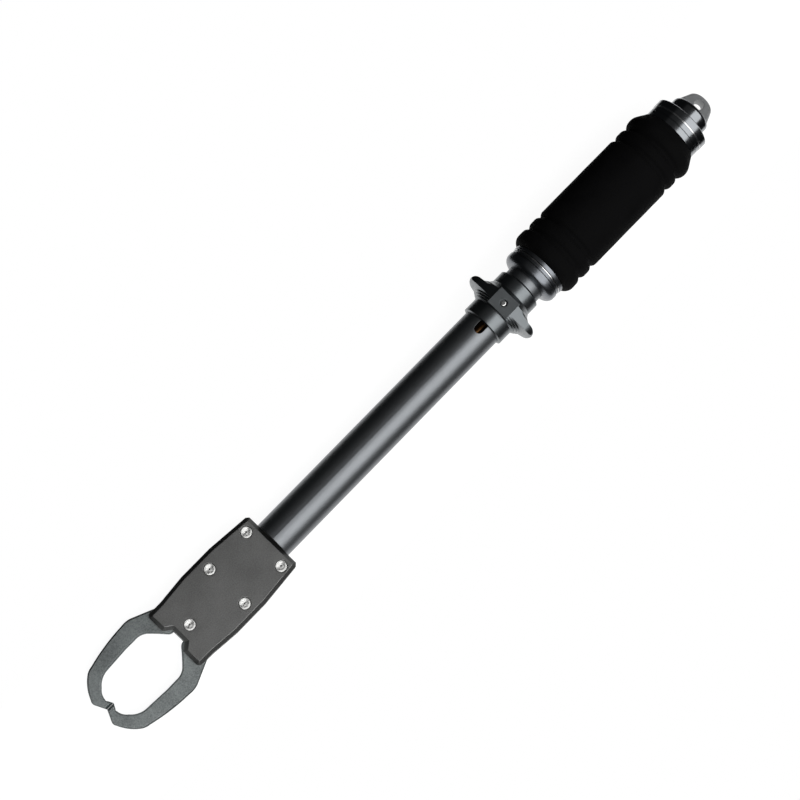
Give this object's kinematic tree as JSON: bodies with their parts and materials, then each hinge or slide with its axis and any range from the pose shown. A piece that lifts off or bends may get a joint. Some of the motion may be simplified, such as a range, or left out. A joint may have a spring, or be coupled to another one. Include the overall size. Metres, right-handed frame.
{
  "type": "fish lip gripper",
  "caption": "Slim hand gripper: hooked jaws on a flat riveted head, worked by a sprung winged collar that slides on a straight barrel, with a foam handle and a lanyard eye.",
  "frame": {"origin": "middle of the closed tool, on the barrel's axis", "axes": "+X along the barrel from the jaw tips to the lanyard eye, +Z square to the flat head plates, +Y across the jaws"},
  "size_m": [0.3294, 0.0358, 0.0298],
  "materials": {
    "jaw_steel": "satin gunmetal",
    "head_metal": "satin dark grey anodised",
    "barrel_metal": "satin gunmetal anodised",
    "ferrule_metal": "satin turned",
    "bright_trim": "polished",
    "black_metal": "glossy black anodised",
    "eye_metal": "satin grey",
    "rivet_steel": "turned bright",
    "spring_steel": "drawn wire",
    "inner_brass": "machined",
    "grip_foam": "matte closed-cell foam"
  },
  "bodies": {
    "frame": {"head_plate_front": "head_metal", "head_plate_back": "head_metal", "pivot_rivet": "rivet_steel", "mid_rivets": "rivet_steel", "rear_rivets": "rivet_steel", "stop_sleeves": "rivet_steel", "pivot_washer": "rivet_steel", "head_plug": "head_metal", "barrel_tube": "barrel_metal", "guide_bush": "inner_brass", "return_spring": "spring_steel", "front_ferrule": "ferrule_metal", "front_trim_ring": "bright_trim", "front_seat_ring": "ferrule_metal", "foam_grip": "grip_foam", "rear_ferrule": "black_metal", "rear_trim_ring": "bright_trim", "rear_flange": "black_metal", "cap_collar": "black_metal", "tube_end_plug": "eye_metal", "lanyard_eye": "eye_metal"},
    "trigger": {"trigger_collar": "barrel_metal", "cross_pin": "rivet_steel", "pin_carrier": "inner_brass", "lock_nut": "rivet_steel", "push_rod": "inner_brass", "spring_collar": "inner_brass", "rod_blade": "rivet_steel", "blade_rivet": "rivet_steel", "drive_pin": "rivet_steel"},
    "jaw_left": {"jaw_left": "jaw_steel"},
    "jaw_right": {"jaw_right": "jaw_steel"}
  },
  "joints": [
    {"name": "trigger_slide", "type": "slide", "parent": "frame", "child": "trigger", "axis": [-1, 0, 0], "range_m": [0, 0.011], "stiffness_N_per_m": 400, "springref_m": -0.01, "deforming": ["return_spring"]},
    {"name": "jaw_left_pivot", "type": "hinge", "parent": "frame", "child": "jaw_left", "pos_m": [-0.1192, 0, 0], "axis": [0, 0, -1], "range_deg": [0, 19.3]},
    {"name": "jaw_right_pivot", "type": "hinge", "parent": "frame", "child": "jaw_right", "pos_m": [-0.1192, 0, 0], "axis": [0, 0, 1], "range_deg": [0, 19.3]}
  ],
  "couplings": [
    {"joint": "jaw_left_pivot", "follows": "trigger_slide", "rad_per_m": 30.5},
    {"joint": "jaw_right_pivot", "follows": "trigger_slide", "rad_per_m": 30.5}
  ]
}
